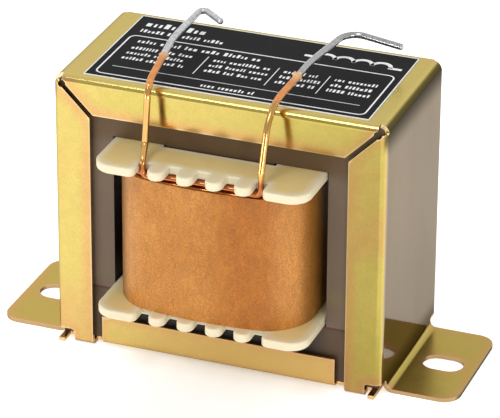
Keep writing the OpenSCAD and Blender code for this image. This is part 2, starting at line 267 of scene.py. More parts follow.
# %% Glowing floor
FLOOR_HALF = 3.0
SWEEP_DARK = rgb(0.91, 0.91, 0.91)
SWEEP_PALE = rgb(0.93, 0.93, 0.93)
WHITE = rgb(1, 1, 1)
GLOW = 0.60
DIM_GLOW = 0.18
DIM_MIDDLE = Vector((2, -80, 0)) * MM
DIM_SIZE = Vector((36, 78, 1)) * MM
DIM_EDGE = (0.5, 1.3)


def make_floor():
    """A wide plane that glows, and glows less in an ellipse in front of the object."""
    bm = bmesh.new()
    bmesh.ops.create_grid(bm, x_segments=1, y_segments=1, size=FLOOR_HALF)
    mesh = bpy.data.meshes.new("floor")
    bm.to_mesh(mesh)
    bm.free()
    floor = bpy.data.objects.new("floor", mesh)
    bpy.context.scene.collection.objects.link(floor)
    finish, bench, shader = new_finish("white_sweep")
    grain = bench.noise(60, 2)
    white = bench.ramp(grain, (0.3, SWEEP_DARK), (0.7, SWEEP_PALE))
    bench.plug(white, shader.inputs["Base Color"])
    away = bench.arrow("SUBTRACT", bench.place(), DIM_MIDDLE).outputs["Vector"]
    away = bench.arrow("DIVIDE", away, DIM_SIZE).outputs["Vector"]
    away = bench.arrow("LENGTH", away).outputs["Value"]
    glow = bench.fade(away, *DIM_EDGE, DIM_GLOW, GLOW)
    bench.plug(bench.shade(WHITE, glow), shader.inputs["Emission Color"])
    set_values(shader, Roughness=0.9, Specular_IOR_Level=0.1, Emission_Strength=1.0)
    coat(floor, finish)


make_floor()
print("glow of the floor:", GLOW, "and in front of the object:", DIM_GLOW)

# %% Lamps and room
LAMP_AIM = Vector((0, 0, 30)) * MM
LAMPS = {
    "key": {"place": (-0.14, -0.46, 0.74), "size": 0.32, "power": 2.2},
    "low_right": {"place": (0.36, -0.50, 0.07), "size": 0.12, "power": 0.8},
    "low_left": {"place": (-0.42, -0.40, 0.07), "size": 0.10, "power": 0.4},
}
BACK_WALL = rgb(0.95, 0.95, 0.96)
FRONT_WALL = rgb(0.66, 0.66, 0.67)
WALL_BLEND = (-0.3, 0.5)
ZENITH = rgb(0.72, 0.72, 0.73)
ZENITH_BLEND = (0.50, 0.95)


def hang_lamp(name, place, size, power):
    """A round lamp that is turned towards the middle of the object."""
    data = bpy.data.lights.new(name, "AREA")
    data.shape = "DISK"
    data.size = size
    data.energy = power
    lamp = bpy.data.objects.new(name, data)
    lamp.location = place
    lamp.rotation_euler = (LAMP_AIM - lamp.location).to_track_quat("-Z", "Y").to_euler()
    bpy.context.scene.collection.objects.link(lamp)


def light_room():
    """A room that is paler behind the object, under a grey ceiling."""
    world = bpy.data.worlds.new("pale_room")
    world.use_nodes = True
    bench = Bench(world.node_tree)
    look = bench.put("ShaderNodeTexCoord").outputs["Generated"]
    way = bench.put("ShaderNodeSeparateXYZ", {"Vector": look})
    walls = bench.mix(bench.fade(way.outputs["Y"], *WALL_BLEND), FRONT_WALL, BACK_WALL)
    sky = bench.mix(bench.fade(way.outputs["Z"], *ZENITH_BLEND), walls, ZENITH)
    bench.plug(sky, world.node_tree.nodes["Background"].inputs["Color"])
    bpy.context.scene.world = world


for lamp_name, lamp in LAMPS.items():
    hang_lamp(lamp_name, **lamp)
light_room()
bpy.context.scene.view_settings.view_transform = "Standard"
print("lamps:", ", ".join(LAMPS))

# %% [markdown]
# ## Copies with rounded edges
#
# A solid from the workshop drawing has edges of no width, and no light ever catches on them. Stamped sheet
# has edges broken by the tumbler, and moulded nylon has a radius everywhere. A bevel modifier could do
# this, but the finish also needs to know how far each point is from the nearest edge, because plating and
# mould both leave a different colour there. So a copy of the solid is welded, its flat faces are joined,
# the outer edges are noted and bevelled, and the faces are sliced into a grid that can carry that distance
# as an attribute.

# %% Welding, outer edges and slicing
WELD = 0.003 * MM
FLAT = math.radians(0.3)
SHARP = math.radians(35)
ON_PLANE = 1e-7


def welded_solid(node):
    """The node's mesh with its corners shared and its flat faces whole."""
    bm = bmesh.new()
    bm.from_mesh(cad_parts[node].data)
    bmesh.ops.remove_doubles(bm, verts=bm.verts, dist=WELD)
    bmesh.ops.dissolve_limit(bm, angle_limit=FLAT, verts=bm.verts, edges=bm.edges)
    return bm


def outer_edges(bm):
    """Edges where two faces meet in a ridge. Corners that lie inside a notch stay square."""
    return [edge for edge in bm.edges if edge.is_manifold and edge.calc_face_angle_signed() > SHARP]


def edge_finder(edges, step):
    """A search tree of points along the edges."""
    points = []
    for edge in edges:
        start, end = (vert.co for vert in edge.verts)
        count = max(1, math.ceil((end - start).length / step))
        points += [start.lerp(end, i / count) for i in range(count + 1)]
    finder = kdtree.KDTree(len(points))
    for i, point in enumerate(points):
        finder.insert(point, i)
    finder.balance()
    return finder


def slice_grid(bm, step):
    """Cuts every face where it crosses a grid of planes."""
    for axis in range(3):
        low = min(vert.co[axis] for vert in bm.verts)
        high = max(vert.co[axis] for vert in bm.verts)
        normal = Vector((0, 0, 0))
        normal[axis] = 1
        count = math.ceil((high - low) / step)
        for i in range(1, count):
            geometry = bm.verts[:] + bm.edges[:] + bm.faces[:]
            cut = normal * (low + (high - low) * i / count)
            bmesh.ops.bisect_plane(bm, geom=geometry, dist=ON_PLANE, plane_co=cut, plane_no=normal)


print("edges sharper than", round(math.degrees(SHARP)), "degrees get rounded")

# %% Rounded copies of the two sheets
SHEET_ROUND = 0.09 * MM
ROUND_STEPS = 3
RIM_STEP = 0.25 * MM
RIM_GRID = 1.5 * MM
EVEN_WEIGHT = 80


def add_piece(name, bm):
    """An object from a bmesh, riding on the one body."""
    mesh = bpy.data.meshes.new(name)
    bm.to_mesh(mesh)
    bm.free()
    piece = bpy.data.objects.new(name, mesh)
    bpy.context.scene.collection.objects.link(piece)
    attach(piece, "root")
    return piece


def rounded_copy(name, node, radius):
    """A piece that stands for a node, with rounded edges and its distance from them in millimetres."""
    bm = welded_solid(node)
    edges = outer_edges(bm)
    finder = edge_finder(edges, RIM_STEP)
    bmesh.ops.bevel(
        bm, geom=edges, offset=radius, offset_type="OFFSET", segments=ROUND_STEPS,
        profile=0.5, affect="EDGES", clamp_overlap=True,
    )
    slice_grid(bm, RIM_GRID)
    rim = bm.verts.layers.float.new("rim")
    for vert in bm.verts:
        vert[rim] = finder.find(vert.co)[2] / MM
    for face in bm.faces:
        face.smooth = True
    piece = add_piece(name, bm)
    even = piece.modifiers.new("even_shading", "WEIGHTED_NORMAL")
    even.weight = EVEN_WEIGHT
    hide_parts(node)
    print(f"{name}: {len(edges)} rounded edges, {len(piece.data.polygons)} faces")
    return piece


folded_frame = rounded_copy("folded_frame", "frame", SHEET_ROUND)
base_pan = rounded_copy("base_pan", "base_plate", SHEET_ROUND)

# %% [markdown]
# ## Yellow chromate
#
# The sheet is zinc plated and dipped in yellow chromate. The film is thinner than a wavelength in places,
# so its colour drifts from gold to green and to pink, with pink bands where the bath drained off along the
# edges and a pale line along every edge, partly the raw edge itself and partly a painted highlight. Both
# sheets share that film, so it is a node group: it takes the distance from the edge and gives colour,
# roughness and a fine height. The frame adds what it alone has. Its feet are olive, the left one painted
# lighter, and their cut edges are brown and darkened further by painted shade. Its top is painted paler
# as a painted reflection, painted shade deepens its front towards the right and most of all at the low
# right end, and the bends from the top to the sides carry a dark painted reflection. Its sides are painted
# a warm grey as the painted reflection of a shaded floor, with painted shade below the top bend and near
# the feet. These marks could be painted as masks, but each follows a place or a direction, so fades along
# the axes give them.

# %% The chromate film
GOLD = rgb(0.600, 0.465, 0.136)
GREEN_GOLD = rgb(0.560, 0.460, 0.118)
PINK_GOLD = rgb(0.620, 0.365, 0.138)
RAW_EDGE_HIGHLIGHT = rgb(0.840, 0.690, 0.460)
GRAZING = rgb(0.45, 0.45, 0.45)
FILM_DEPTH = 0.0008 * MM


def chromate_film():
    """The film's colour, roughness and height, from the distance to the edge and the width of the band."""
    outputs = {"Color": "Color", "Roughness": "Float", "Height": "Float"}
    tree, bench, given, result = new_effect("chromate_film", {"Rim": 9.0, "Band": 3.2}, outputs)
    clouds = bench.noise(38, 2, 0.4)
    film = bench.ramp(clouds, (0.27, PINK_GOLD), (0.42, GOLD), (0.53, GOLD), (0.68, GREEN_GOLD))
    rim = given.outputs["Rim"]
    drained = bench.fade(rim, given.outputs["Band"], 0.3)
    patchy = bench.fade(bench.noise(70, 2), 0.30, 0.60, 0.65, 1.0)
    film = bench.mix(bench.times(drained, patchy), film, PINK_GOLD)
    film = bench.shade(film, bench.fade(bench.noise(420, 3, 0.5), 0.25, 0.75, 0.96, 1.03))
    film = bench.shade(film, bench.fade(bench.noise(2600, 2, 0.6), 0.30, 0.70, 0.96, 1.03))
    # Painted highlight: a pale line along every outer edge, partly the raw edge's own colour.
    edge_highlight = bench.fade(rim, 0.32, 0.06, 0.0, 0.55)
    bench.plug(bench.mix(edge_highlight, film, RAW_EDGE_HIGHLIGHT), result.inputs["Color"])
    bench.plug(bench.fade(bench.noise(160, 2), 0.3, 0.7, 0.13, 0.19), result.inputs["Roughness"])
    bench.plug(bench.noise(900, 2, 0.5), result.inputs["Height"])
    return tree


CHROMATE = chromate_film()


def chromated(name):
    """A finish with the chromate film in it, and the film's node."""
    finish, bench, shader = new_finish(name)
    film = bench.put("ShaderNodeGroup", {"Rim": bench.rim()}, node_tree=CHROMATE)
    bench.plug(bench.bump(film.outputs["Height"], FILM_DEPTH), shader.inputs["Normal"])
    set_values(shader, Metallic=1.0, Specular_Tint=GRAZING)
    return finish, bench, shader, film


print("film group:", CHROMATE.name)

# %% Frame and base plate in chromate
FRAME_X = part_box("e_stack")[1].x
RIGHT_SHADE = rgb(0.78, 0.80, 0.66)
LOW_SHADE = rgb(0.78, 0.72, 0.78)
TOP_SHEEN_GOLD = rgb(0.830, 0.655, 0.235)
FOOT_OLIVE = rgb(0.510, 0.380, 0.098)
FOOT_PINK = rgb(0.570, 0.370, 0.120)
SIDE_SHADE_DARK = rgb(0.385, 0.308, 0.222)
SIDE_SHADE_PALE = rgb(0.415, 0.335, 0.245)
BEND_SHADE = rgb(0.055, 0.044, 0.022)
BEND_DARK_REFLECTION = rgb(0.100, 0.082, 0.030)
CUT_BROWN_AND_SHADE = rgb(0.430, 0.275, 0.130)
FOOT_SHADE = rgb(0.110, 0.078, 0.020)
TOP_SHEEN_BAND = (50 * MM, 54 * MM)
LOW_BAND = (22 * MM, 2 * MM)
FOOT_BAND = (5 * MM, 1.5 * MM)
CUT_SHADE_BAND = (0.85 * MM, 0.7 * MM)
BEND_REFLECTION_BAND = (52 * MM, 55 * MM)
BEND_SHADE_BAND = (50.5 * MM, 56.5 * MM)
FOOT_SHADE_BAND = (7 * MM, 2.5 * MM)
FOOT_RIM = (2.4, 0.2)
SIDE_SHADE_X = (33.3 * MM, 33.7 * MM)
TOP_RIGHT_SHADE = 0.45
LEFT_FOOT_LIGHT = 1.26
SIDE_POLISH = -0.06
TOP_HAZE = 0.12
BASE_DIM = 0.97
BASE_BAND = 1.6


def frame_plating():
    """The frame's film with olive feet, and painted light and shade on feet, top, front, bends and sides."""
    finish, bench, shader, film = chromated("frame_plating")
    height = bench.at("Z")
    upward = bench.fade(bench.faces("Z"), 0.60, 0.95)
    frontal = bench.fade(bench.size(bench.faces("Y")), 0.50, 0.90)
    sideways = bench.size(bench.faces("X"))
    across = bench.put("ShaderNodeMapRange", {0: bench.at("X"), 1: -FRAME_X, 2: FRAME_X}).outputs[0]
    # Painted reflection: the top of the frame is painted a paler gold.
    top = bench.times(upward, bench.fade(height, *TOP_SHEEN_BAND, 0.0, 0.8))
    colour = bench.mix(top, film.outputs["Color"], TOP_SHEEN_GOLD)
    # Painted shade: the front, and a little of the top, darken towards the right, most of all at the low
    # right end.
    share = bench.sum("ADD", frontal, bench.times(top, TOP_RIGHT_SHADE))
    colour = bench.mix(bench.times(share, across), colour, RIGHT_SHADE, "MULTIPLY")
    low_right = bench.times(frontal, across, bench.fade(height, *LOW_BAND))
    colour = bench.mix(low_right, colour, LOW_SHADE, "MULTIPLY")
    olive = bench.mix(bench.fade(bench.rim(), *FOOT_RIM), FOOT_OLIVE, FOOT_PINK)
    # Painted light: the left foot is painted lighter than the right.
    olive = bench.shade(olive, bench.fade(bench.at("X"), -FRAME_X, FRAME_X, LEFT_FOOT_LIGHT, 1.0))
    foot = bench.times(upward, bench.fade(height, *FOOT_BAND, 0.0, 0.85))
    colour = bench.mix(foot, colour, olive)
    # The low cut edges are brown, and painted shade darkens them further.
    cut = bench.fade(height, *CUT_SHADE_BAND, 0.0, 0.9)
    cut = bench.times(cut, bench.fade(bench.faces("Z"), 0.7, 0.3))
    colour = bench.mix(cut, colour, CUT_BROWN_AND_SHADE)
    # Painted reflection: the bends from the top to the sides are painted dark olive.
    bend = bench.fade(sideways, 0.40, 0.75, 0.0, 0.92)
    bend = bench.times(bend, bench.fade(height, *BEND_REFLECTION_BAND))
    colour = bench.mix(bend, colour, BEND_DARK_REFLECTION)
    # Painted reflection: the sides are painted a warm grey, the reflection of a shaded floor, with painted
    # shade below the top bend and near the foot.
    side = bench.fade(sideways, 0.80, 0.98)
    side = bench.times(side, bench.fade(bench.size(bench.at("X")), *SIDE_SHADE_X))
    side_shade = bench.ramp(bench.noise(45, 2, 0.5, (1, 4, 0.7)), (0.3, SIDE_SHADE_DARK), (0.7, SIDE_SHADE_PALE))
    side_shade = bench.mix(bench.fade(height, *BEND_SHADE_BAND, 0.0, 0.95), side_shade, BEND_SHADE)
    side_shade = bench.mix(bench.fade(height, *FOOT_SHADE_BAND, 0.0, 0.8), side_shade, FOOT_SHADE)
    bench.plug(bench.mix(side, colour, side_shade), shader.inputs["Base Color"])
    polish = bench.sum("ADD", bench.times(side, SIDE_POLISH), bench.times(upward, TOP_HAZE))
    bench.plug(bench.sum("ADD", film.outputs["Roughness"], polish), shader.inputs["Roughness"])
    return finish


def base_plating():
    """The same film on the base plate, a little pinker."""
    finish, bench, shader, film = chromated("base_plating")
    pinker = bench.fade(bench.noise(34, 2), 0.36, 0.60, 0.15, 0.65)
    pink = bench.mix(pinker, film.outputs["Color"], PINK_GOLD)
    bench.plug(bench.shade(pink, BASE_DIM), shader.inputs["Base Color"])
    bench.plug(film.outputs["Roughness"], shader.inputs["Roughness"])
    film.inputs["Band"].default_value = BASE_BAND
    return finish


coat(folded_frame, frame_plating())
coat(base_pan, base_plating())
print("chromate on", folded_frame.name, "and", base_pan.name)

# %% [markdown]
# ## Laminations and card
#
# The core is a stack of half-millimetre sheets of annealed electrical steel. Seen from the front it is one
# sheet's brown-grey oxide skin, and seen from the edge it is a pack of thin lines. The lines could be
# modelled, but there are more than sixty sheets and they lie hidden under the frame, so the finish draws
# them wherever the surface doesn't face the front or the back. The walls of the window and the stretch
# under the coil lie in deep shade, and the glowing floor would light them up, so the finish paints them
# nearly black as painted shade. Painted shade also darkens the yoke below the frame with a warm tint, and
# the lower stack. The right leg has a small olive patch. A dark red card keeps the two stacks apart.

# %% Oxide skin and sheet edges
SHEET_PITCH = 0.5 * MM
WINDOW_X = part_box("e_stack")[1].x * 2 / 3
COIL_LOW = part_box("bobbin")[0].z
YOKE_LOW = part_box("bobbin")[1].z
I_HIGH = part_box("i_stack")[1].z
YOKE_WARM_SHADE = rgb(0.76, 0.63, 0.40)
I_STACK_SHADE = rgb(0.60, 0.52, 0.44)
OLIVE_PATCH_AT = Vector((24.0, -15.75, 19.5)) * MM
OLIVE_PATCH_REACH = (2.2 * MM, 0.8 * MM)
OXIDE_DARK = rgb(0.106, 0.071, 0.042)
OXIDE_PALE = rgb(0.136, 0.094, 0.058)
OXIDE_GRAIN = rgb(0.190, 0.140, 0.095)
SEAMS_AND_SHADE_BLACK = rgb(0.016, 0.012, 0.009)
OLIVE_PATCH = rgb(0.150, 0.125, 0.045)
SEAM_DEPTH = 0.02 * MM
CARD_DARK = rgb(0.045, 0.012, 0.008)
CARD_PALE = rgb(0.10, 0.030, 0.018)


def lamination_finish():
    """Oxide skin on the flat of a sheet, and a line for each sheet across the pack."""
    finish, bench, shader = new_finish("lamination")
    skin = bench.ramp(bench.noise(35, 4, 0.55), (0.30, OXIDE_DARK), (0.70, OXIDE_PALE))
    grain = bench.noise(2600, 3, 0.6)
    skin = bench.mix(bench.fade(grain, 0.35, 0.8, 0.0, 0.30), skin, OXIDE_GRAIN)
    # An olive patch on the right leg.
    away = bench.arrow("DISTANCE", bench.place(), OLIVE_PATCH_AT).outputs["Value"]
    skin = bench.mix(bench.fade(away, *OLIVE_PATCH_REACH, 0.0, 0.5), skin, OLIVE_PATCH)
    # Painted shade: the yoke below the frame is darker and warmer.
    yoke_shade = bench.fade(bench.at("Z"), YOKE_LOW - 2 * MM, YOKE_LOW + MM)
    skin = bench.mix(yoke_shade, skin, YOKE_WARM_SHADE, "MULTIPLY")
    # Painted shade: the lower stack is darker.
    lower_stack_shade = bench.fade(bench.at("Z"), I_HIGH + 0.1 * MM, I_HIGH)
    skin = bench.mix(lower_stack_shade, skin, I_STACK_SHADE, "MULTIPLY")
    across = bench.fade(bench.size(bench.faces("Y")), 0.7, 0.4)
    phase = bench.sum("FRACT", bench.sum("DIVIDE", bench.at("Y"), SHEET_PITCH))
    seam = bench.times(across, bench.fade(bench.size(bench.sum("SUBTRACT", phase, 0.5)), 0.40, 0.49))
    off_middle = bench.size(bench.at("X"))
    inside = bench.fade(off_middle, WINDOW_X + MM, WINDOW_X - 4 * MM)
    window_wall = bench.fade(off_middle, WINDOW_X + 0.2 * MM, WINDOW_X + 0.1 * MM)
    window_wall = bench.times(across, window_wall)
    under_coil = bench.fade(bench.at("Z"), COIL_LOW + 0.3 * MM, COIL_LOW - 0.4 * MM)
    under_coil = bench.times(inside, under_coil)
    # Painted shade: the window walls and the stretch under the coil get the same near-black as the seams.
    black = bench.sum("MAXIMUM", under_coil, bench.sum("MAXIMUM", seam, window_wall))
    bench.plug(bench.mix(black, skin, SEAMS_AND_SHADE_BLACK), shader.inputs["Base Color"])
    bench.plug(bench.fade(grain, 0.2, 0.8, 0.42, 0.60), shader.inputs["Roughness"])
    height = bench.sum("SUBTRACT", bench.times(grain, 0.2), seam)
    bench.plug(bench.bump(height, SEAM_DEPTH), shader.inputs["Normal"])
    set_values(shader, Metallic=0.3)
    return finish


def gap_card_finish():
    """Pressed card, with its fibres lying flat."""
    finish, bench, shader = new_finish("gap_card")
    fibre = bench.noise(700, 4, 0.6, (1, 1, 4))
    card = bench.ramp(fibre, (0.3, CARD_DARK), (0.7, CARD_PALE))
    bench.plug(card, shader.inputs["Base Color"])
    bench.plug(bench.fade(fibre, 0.3, 0.7, 0.65, 0.85), shader.inputs["Roughness"])
    return finish


LAMINATION = lamination_finish()
for stack in ("e_stack", "i_stack"):
    coat(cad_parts[stack], LAMINATION)
coat(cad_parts["gap_shim"], gap_card_finish())

# %% [markdown]
# ## Nylon bobbin
#
# Natural nylon is milky: light goes in, wanders and comes out again, so thick places look yellower and thin
# edges whiter. Subsurface scattering gives the wandering. The distance from the edge, which the rounded
# copy carries, gives the change of colour without a long render.

# %% Bobbin in natural nylon
NYLON_ROUND = 0.38 * MM
NYLON_RIM = (0.3, 2.2)
NYLON_DEPTH = 0.02 * MM
NYLON_REACH = 1.0 * MM
NYLON_SPREAD = (1.0, 0.75, 0.4)
NYLON_EDGE = rgb(0.71, 0.63, 0.44)
NYLON_THICK = rgb(0.67, 0.505, 0.205)
NYLON_CLOUD = rgb(0.71, 0.56, 0.255)


def nylon_finish():
    """Milky nylon, whiter along its edges."""
    finish, bench, shader = new_finish("nylon")
    thick = bench.ramp(bench.noise(160, 3), (0.3, NYLON_THICK), (0.7, NYLON_CLOUD))
    milky = bench.mix(bench.fade(bench.rim(), *NYLON_RIM), NYLON_EDGE, thick)
    bench.plug(milky, shader.inputs["Base Color"])
    bench.plug(bench.fade(bench.noise(500, 3), 0.3, 0.7, 0.32, 0.45), shader.inputs["Roughness"])
    bench.plug(bench.bump(bench.noise(700, 3), NYLON_DEPTH), shader.inputs["Normal"])
    set_values(shader, Subsurface_Weight=0.30, Subsurface_Scale=NYLON_REACH, Subsurface_Radius=NYLON_SPREAD)
    return finish


bobbin_moulding = rounded_copy("bobbin_moulding", "bobbin", NYLON_ROUND)
coat(bobbin_moulding, nylon_finish())

# %% [markdown]
# ## Kraft paper
#
# A wrap of brown kraft paper holds the last layer down. Close up the paper is a felt of short fibres,
# lighter than the ground, with cloudy patches where the pulp was thicker. Fine noise gives the flecks,
# noise stretched upwards the fibres, and coarse noise the clouds. The paper is calendered, so it has a soft
# sheen. Painted light and shade change its tone from left to right: painted shade makes the right half a
# little deeper and its middle redder, a painted sheen makes the right curve paler, and painted shade
# darkens both ends where they turn back to the core.

# %% Paper around the coil
KRAFT_DEEP = rgb(0.410, 0.155, 0.020)
KRAFT_PALE = rgb(0.490, 0.200, 0.034)
KRAFT_WARM_SHADE = rgb(0.86, 0.70, 0.35)
RIGHT_SHADE_X = (-8 * MM, 4 * MM)
WARM_SHADE_FROM_X = (-2 * MM, 8 * MM)
WARM_SHADE_TO_X = (16.2 * MM, 12.6 * MM)
FLECK_DEPTH = 0.015 * MM


def kraft_finish():
    """Paper felt, with painted shade and sheen that change around the coil."""
    finish, bench, shader = new_finish("kraft_paper")
    clouds = bench.ramp(bench.noise(80, 3, 0.5), (0.3, KRAFT_DEEP), (0.7, KRAFT_PALE))
    flecks = bench.noise(3800, 4, 0.6)
    fibres = bench.noise(900, 3, 0.6, (1, 1, 0.35))
    felt = bench.shade(clouds, bench.fade(flecks, 0.30, 0.70, 0.74, 1.26))
    felt = bench.shade(felt, bench.fade(fibres, 0.30, 0.70, 0.91, 1.09))
    turned = bench.faces("X")
    # Painted shade and sheen: both ends darken, the right half darkens and the right curve is painted paler.
    left_end_shade = bench.fade(turned, -0.55, -0.95, 1.0, 0.36)
    right_half_shade = bench.fade(bench.at("X"), *RIGHT_SHADE_X, 1.0, 0.93)
    right_curve_sheen = bench.fade(turned, 0.40, 0.80, 1.0, 1.15)
    right_end_shade = bench.fade(turned, 0.80, 0.99, 1.0, 0.55)
    felt = bench.shade(felt, bench.times(left_end_shade, right_half_shade, right_curve_sheen, right_end_shade))
    # Painted shade: the middle of the right half is painted darker and redder.
    redder_shade = bench.fade(bench.at("X"), *WARM_SHADE_FROM_X)
    redder_shade = bench.times(redder_shade, bench.fade(bench.at("X"), *WARM_SHADE_TO_X))
    felt = bench.mix(redder_shade, felt, KRAFT_WARM_SHADE, "MULTIPLY")
    bench.plug(felt, shader.inputs["Base Color"])
    bench.plug(bench.fade(flecks, 0.3, 0.7, 0.48, 0.40), shader.inputs["Roughness"])
    bench.plug(bench.bump(flecks, FLECK_DEPTH), shader.inputs["Normal"])
    set_values(shader, Specular_IOR_Level=0.38)
    return finish


coat(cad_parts["wrap"], kraft_finish())

# %% [markdown]
# ## Enamelled copper
#
# The wire is soft copper under a clear amber enamel, so it is a metal with a coat. The coil's own turns lie
# in shade, and painted shade makes them redder than the leads. Just above the comb each lead is paler, a
# painted highlight. Coil and leads are one wire, so one finish serves both, and height alone tells the
# stretches apart.

# %% Wire
COPPER = rgb(0.650, 0.370, 0.112)
COPPER_DRAWN = rgb(0.600, 0.325, 0.092)
COPPER_SHADE = rgb(0.380, 0.085, 0.018)
ABOVE_COMB_HIGHLIGHT = (49.2 * MM, 48.4 * MM)
COIL_SHADE_TOP = (47.6 * MM, 45.8 * MM)


def copper_finish():
    """Copper under enamel, with painted shade in the coil and a painted highlight above the comb."""
    finish, bench, shader = new_finish("wire")
    bright = bench.ramp(bench.noise(220, 2), (0.3, COPPER_DRAWN), (0.7, COPPER))
    # Painted highlight: just above the comb each lead is paler.
    bright = bench.shade(bright, bench.fade(bench.at("Z"), *ABOVE_COMB_HIGHLIGHT, 1.0, 1.35))
    # Painted shade: down in the coil the wire is darker and redder.
    deep_shade = bench.fade(bench.at("Z"), *COIL_SHADE_TOP, 0.0, 0.85)
    bench.plug(bench.mix(deep_shade, bright, COPPER_SHADE), shader.inputs["Base Color"])
    bench.plug(bench.fade(bench.noise(60, 1), 0.3, 0.7, 0.15, 0.19), shader.inputs["Roughness"])
    set_values(shader, Metallic=1.0, Coat_Weight=0.4, Coat_Roughness=0.06)
    return finish


COPPER_WIRE = copper_finish()
coat(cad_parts["winding"], COPPER_WIRE)
print("the wire turns redder from mm to mm:", [round(z / MM, 1) for z in COIL_SHADE_TOP])

# %% [markdown]
# ## Leads: bright enamel, scorch and solder
#
# To make the ends solderable, the enamel was burnt off in the solder pot. That leaves three zones along
# each lead: bright enamel, a matte scorched stretch that ends in a pale crust, and a tinned end. A colour
# change on the wire alone would leave out the blisters, the crust and the drop at the tip, so each zone is
# a thin sleeve: even on the bright enamel, blistered on the scorch and a little lumpy on the solder. All
# are swept along the wire's own route: straight stretches between the corner points, with an arc at each
# corner.

# %% Routes of the two leads
WIRE_R = 0.625 * MM
ROUTE_STEP = 0.12
LEFT_ROUTE = [
    (-12.9, -21.775, 48.75), (-12.9, -19.975, 60.645), (-15.3, -1.5, 61.995),
    (-14.9, 13.3, 62.445), (-8.850, 7.350, 62.941),
]
LEFT_BENDS = (4, 40, 1)
RIGHT_ROUTE = [
    (11.8, -24.875, 48.1), (11.95, -20.975, 60.095), (13.2, -2.2, 61.845),
    (15.75, 12.5, 62.645), (27.680, 9.120, 62.645),
]
RIGHT_BENDS = (8, 40, 3.5)


def rounded_route(points, bends):
    """Points along straight stretches and corner arcs, in metres."""
    corners = [Vector(point) for point in points]
    route = [corners[0]]
    for before, corner, after, bend in zip(corners, corners[1:], corners[2:], bends):
        inward = (corner - before).normalized()
        outward = (after - corner).normalized()
        half = inward.angle(outward) / 2
        centre = corner + (outward - inward).normalized() * bend / math.cos(half)
        start = corner - inward * bend * math.tan(half) - centre
        across = start.cross(inward).normalized()
        count = math.ceil(2 * half * bend / ROUTE_STEP)
        route += [centre + Matrix.Rotation(2 * half * i / count, 3, across) @ start for i in range(count + 1)]
    route.append(corners[-1])
    fine = []
    for start, end in zip(route, route[1:]):
        count = max(1, round((end - start).length / ROUTE_STEP))
        fine += [start.lerp(end, i / count) for i in range(count)]
    return [point * MM for point in fine + [route[-1]]]


LEFT_LEAD = rounded_route(LEFT_ROUTE, LEFT_BENDS)
RIGHT_LEAD = rounded_route(RIGHT_ROUTE, RIGHT_BENDS)
print("points along the leads:", len(LEFT_LEAD), len(RIGHT_LEAD))

# %% Sleeves swept along a route
SLEEVE_SIDES = 28


def sweep(route, radius_at):
    """A closed sleeve along a route. Its radius depends on the place and on the way left to the end."""
    bm = bmesh.new()
    side = (route[1] - route[0]).orthogonal().normalized()
    left = sum((b - a).length for a, b in zip(route, route[1:]))
    rings = []
    for i, point in enumerate(route):
        ahead = (route[min(i + 1, len(route) - 1)] - route[max(i - 1, 0)]).normalized()
        side = (side - ahead * side.dot(ahead)).normalized()
        lift = ahead.cross(side)
        left -= (point - route[max(i - 1, 0)]).length
        ring = []
        for k in range(SLEEVE_SIDES):
            angle = 2 * math.pi * k / SLEEVE_SIDES
            out = side * math.cos(angle) + lift * math.sin(angle)
            radius = radius_at(point + out * WIRE_R, max(left, 0.0))
            ring.append(bm.verts.new(point + out * radius))
        rings.append(ring)
    for low, high in zip(rings, rings[1:]):
        for k in range(SLEEVE_SIDES):
            beside = (k + 1) % SLEEVE_SIDES
            bm.faces.new((low[k], low[beside], high[beside], high[k]))
    bm.faces.new(reversed(rings[0]))
    bm.faces.new(rings[-1])
    for face in bm.faces:
        face.smooth = len(face.verts) == 4
    return bm


def lumps(point, grain, depth):
    """Unevenness of a skin at a point, up to depth either way, in lumps of about grain."""
    return depth * noise.noise(point / grain)


def stretch_between(route, start_y, end_y):
    """The part of the route's first run between two distances from the front."""
    turn = max(range(len(route)), key=lambda i: route[i].y)
    return [point for point in route[:turn] if start_y <= point.y <= end_y]


def beyond(route, start_y, past):
    """The route from a distance from the front to a little past its end."""
    first = next(i for i, point in enumerate(route) if point.y >= start_y)
    ahead = (route[-1] - route[-2]).normalized()
    steps = math.ceil(past / (ROUTE_STEP * MM / 3))
    return route[first:] + [route[-1] + ahead * past * (i + 1) / steps for i in range(steps)]


print("sleeve sides:", SLEEVE_SIDES)

# %% Enamel, scorch and solder
TIN_FROM = {"left": -9.3 * MM, "right": -8.8 * MM}
SCORCH_FROM = {"left": -19.7 * MM, "right": -18.8 * MM}
SCORCH_PAST = 0.8 * MM
ENAMEL_T = 0.025 * MM
TIN_T = 0.03 * MM
TIN_DROP = 0.30 * MM
SCORCH_T = 0.03 * MM
CRUST = 1.6 * MM
CRUST_T = 0.08 * MM
TIN_LUMPS = (0.9 * MM, 0.02 * MM)
BLISTERS = (0.45 * MM, 0.05 * MM)
CRUST_LUMPS = (0.40 * MM, 0.75 * MM)
DEEPEST_PIT = -0.04 * MM
TIP = 0.05


def solder_radius(point, left):
    """A thin, slightly lumpy skin that closes in a round drop past the wire's end."""
    shut = min(1.0, left / TIN_DROP)
    dome = math.sqrt(max(0.0, 1 - (1 - shut) ** 2))
    return (WIRE_R + TIN_T + lumps(point, *TIN_LUMPS)) * max(dome, TIP)


def scorch_radius(point, left):
    """A blistered skin that ends in a ragged crust."""
    crust = max(0.0, 1 - left / CRUST)
    ragged = lumps(point, *BLISTERS) + crust * lumps(point, *CRUST_LUMPS)
    return WIRE_R + SCORCH_T + CRUST_T * crust + max(ragged, DEEPEST_PIT)


def bright_radius(point, left):
    """Enamel as the wire maker left it, even all round."""
    return WIRE_R + ENAMEL_T


print("enamel, scorch and solder in mm:", [round(t / MM, 3) for t in (ENAMEL_T, SCORCH_T, TIN_T)])

